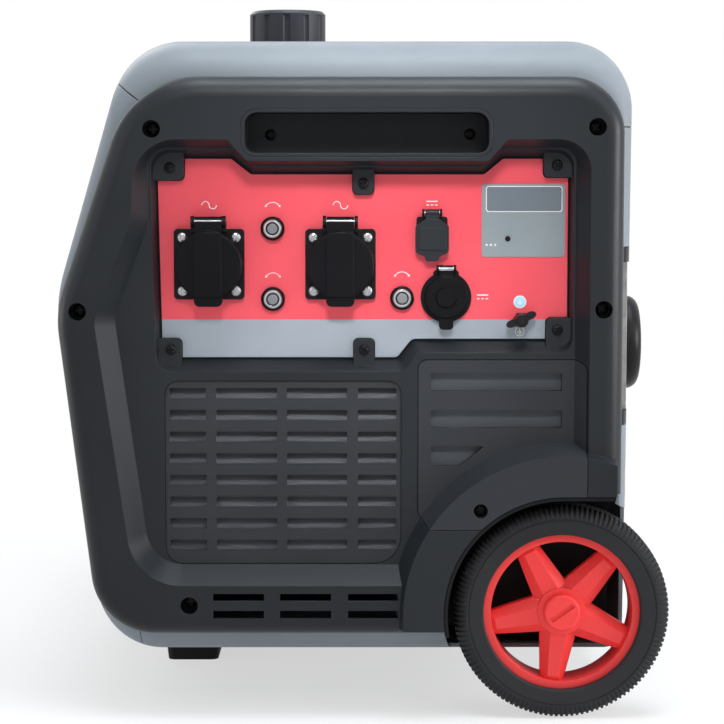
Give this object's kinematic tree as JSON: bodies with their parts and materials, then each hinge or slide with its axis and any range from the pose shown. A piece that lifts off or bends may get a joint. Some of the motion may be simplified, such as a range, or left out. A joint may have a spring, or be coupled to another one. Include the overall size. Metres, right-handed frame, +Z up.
{
  "type": "portable generator",
  "caption": "Closed-case portable inverter generator on two wheels, with a sunk control panel of lidded outlets, a side exhaust, a top fuel cap and a fold-out pull handle.",
  "frame": {"origin": "floor level, under the middle of the bounding box", "axes": "+X to the right of a person facing the control panel, +Y from the panel to the rear, +Z up"},
  "size_m": [0.4393, 0.576, 0.5205],
  "materials": {
    "shell_grey": "fine satin grain",
    "cover_black": "fine matt grain",
    "panel_red": "satin sheet",
    "socket_black": "smooth moulded",
    "button_grey": "smooth moulded",
    "bright_steel": "zinc plated",
    "black_steel": "black finish",
    "heat_steel": "heat dulled",
    "liner_black": "matt moulded",
    "rim_red": "satin moulded",
    "tyre_rubber": "ribbed",
    "soft_rubber": "matt",
    "cast_alloy": "as cast",
    "core_steel": "laminated",
    "fan_black": "moulded"
  },
  "bodies": {
    "case": {"top_cover": "shell_grey", "left_end_cover": "shell_grey", "right_end_cover": "shell_grey", "base_tray": "shell_grey", "front_cover": "cover_black", "rear_cover": "cover_black", "front_grille": "cover_black", "grip_cups": "cover_black", "maintenance_door": "cover_black", "filler_surround": "cover_black", "control_panel": "panel_red", "left_socket": "socket_black", "right_socket": "socket_black", "breaker_bezels": "socket_black", "usb_socket": "socket_black", "dc_socket": "socket_black", "recoil_grip": "socket_black", "socket_screws": "bright_steel", "lid_hinge_pins": "bright_steel", "axle": "bright_steel", "panel_screws": "black_steel", "cover_screws": "black_steel", "exhaust_bezel": "black_steel", "exhaust_outlet": "black_steel", "axle_brackets": "black_steel", "earth_stud": "black_steel", "heat_shield": "heat_steel", "muffler": "heat_steel", "wheel_wells": "liner_black", "fuel_tank": "liner_black", "air_filter_box": "liner_black", "rubber_feet": "soft_rubber", "engine_mounts": "soft_rubber", "crankcase": "cast_alloy", "cylinder": "cast_alloy", "rocker_cover": "cast_alloy", "carburettor": "cast_alloy", "inverter_module": "cast_alloy", "recoil_starter": "cast_alloy", "alternator_stator": "core_steel"},
    "front_wheel": {"front_tyre": "tyre_rubber", "front_rim": "rim_red", "front_hub_cap": "rim_red"},
    "rear_wheel": {"rear_tyre": "tyre_rubber", "rear_rim": "rim_red", "rear_hub_cap": "rim_red"},
    "left_lid": {"left_socket_lid": "socket_black"},
    "right_lid": {"right_socket_lid": "socket_black"},
    "usb_flap": {"usb_cover": "socket_black"},
    "dc_flap": {"dc_cover": "socket_black"},
    "left_button": {"left_breaker_button": "button_grey"},
    "centre_button": {"centre_breaker_button": "button_grey"},
    "dc_button": {"dc_breaker_button": "button_grey"},
    "wing_nut": {"earth_wing_nut": "black_steel"},
    "filler_cap": {"fuel_cap": "cover_black"},
    "crank": {"crankshaft": "bright_steel", "alternator_rotor": "core_steel", "cooling_fan": "fan_black"},
    "handle": {"pull_handle": "black_steel", "handle_grip": "soft_rubber"}
  },
  "joints": [
    {"name": "front_wheel_spin", "type": "hinge", "parent": "case", "child": "front_wheel", "pos_m": [0.1426, -0.257, 0.077], "axis": [0, 1, 0], "continuous": true},
    {"name": "rear_wheel_spin", "type": "hinge", "parent": "case", "child": "rear_wheel", "pos_m": [0.1426, 0.257, 0.077], "axis": [0, 1, 0], "continuous": true},
    {"name": "left_lid_hinge", "type": "hinge", "parent": "case", "child": "left_lid", "pos_m": [-0.1086, -0.2635, 0.3551], "axis": [-1, 0, 0], "range_deg": [0, 115], "stiffness_Nm_per_rad": 0.01, "springref_deg": -17.19},
    {"name": "right_lid_hinge", "type": "hinge", "parent": "case", "child": "right_lid", "pos_m": [-0.0153, -0.2635, 0.3551], "axis": [-1, 0, 0], "range_deg": [0, 115], "stiffness_Nm_per_rad": 0.01, "springref_deg": -17.19},
    {"name": "usb_flap_hinge", "type": "hinge", "parent": "case", "child": "usb_flap", "pos_m": [0.0497, -0.2595, 0.3613], "axis": [-1, 0, 0], "range_deg": [0, 120], "stiffness_Nm_per_rad": 0.004, "springref_deg": -17.19},
    {"name": "dc_flap_hinge", "type": "hinge", "parent": "case", "child": "dc_flap", "pos_m": [0.0598, -0.26, 0.3217], "axis": [-1, 0, 0], "range_deg": [0, 120], "stiffness_Nm_per_rad": 0.004, "springref_deg": -17.19},
    {"name": "left_button_push", "type": "slide", "parent": "case", "child": "left_button", "axis": [0, 1, 0], "range_m": [0, 0.0025], "stiffness_N_per_m": 400, "springref_m": -0.002},
    {"name": "centre_button_push", "type": "slide", "parent": "case", "child": "centre_button", "axis": [0, 1, 0], "range_m": [0, 0.0025], "stiffness_N_per_m": 400, "springref_m": -0.002},
    {"name": "dc_button_push", "type": "slide", "parent": "case", "child": "dc_button", "axis": [0, 1, 0], "range_m": [0, 0.0025], "stiffness_N_per_m": 400, "springref_m": -0.002},
    {"name": "wing_nut_turn", "type": "hinge", "parent": "case", "child": "wing_nut", "pos_m": [0.1133, -0.2625, 0.2848], "axis": [0, 1, 0], "continuous": true},
    {"name": "filler_cap_turn", "type": "hinge", "parent": "case", "child": "filler_cap", "pos_m": [-0.061, 0, 0.5], "axis": [0, 0, 1], "range_deg": [0, 120]},
    {"name": "crank_spin", "type": "hinge", "parent": "case", "child": "crank", "pos_m": [-0.01, 0, 0.19], "axis": [0, 1, 0], "continuous": true},
    {"name": "handle_fold", "type": "hinge", "parent": "case", "child": "handle", "pos_m": [-0.206, 0, 0.325], "axis": [0, 1, 0], "range_deg": [0, 100]}
  ]
}
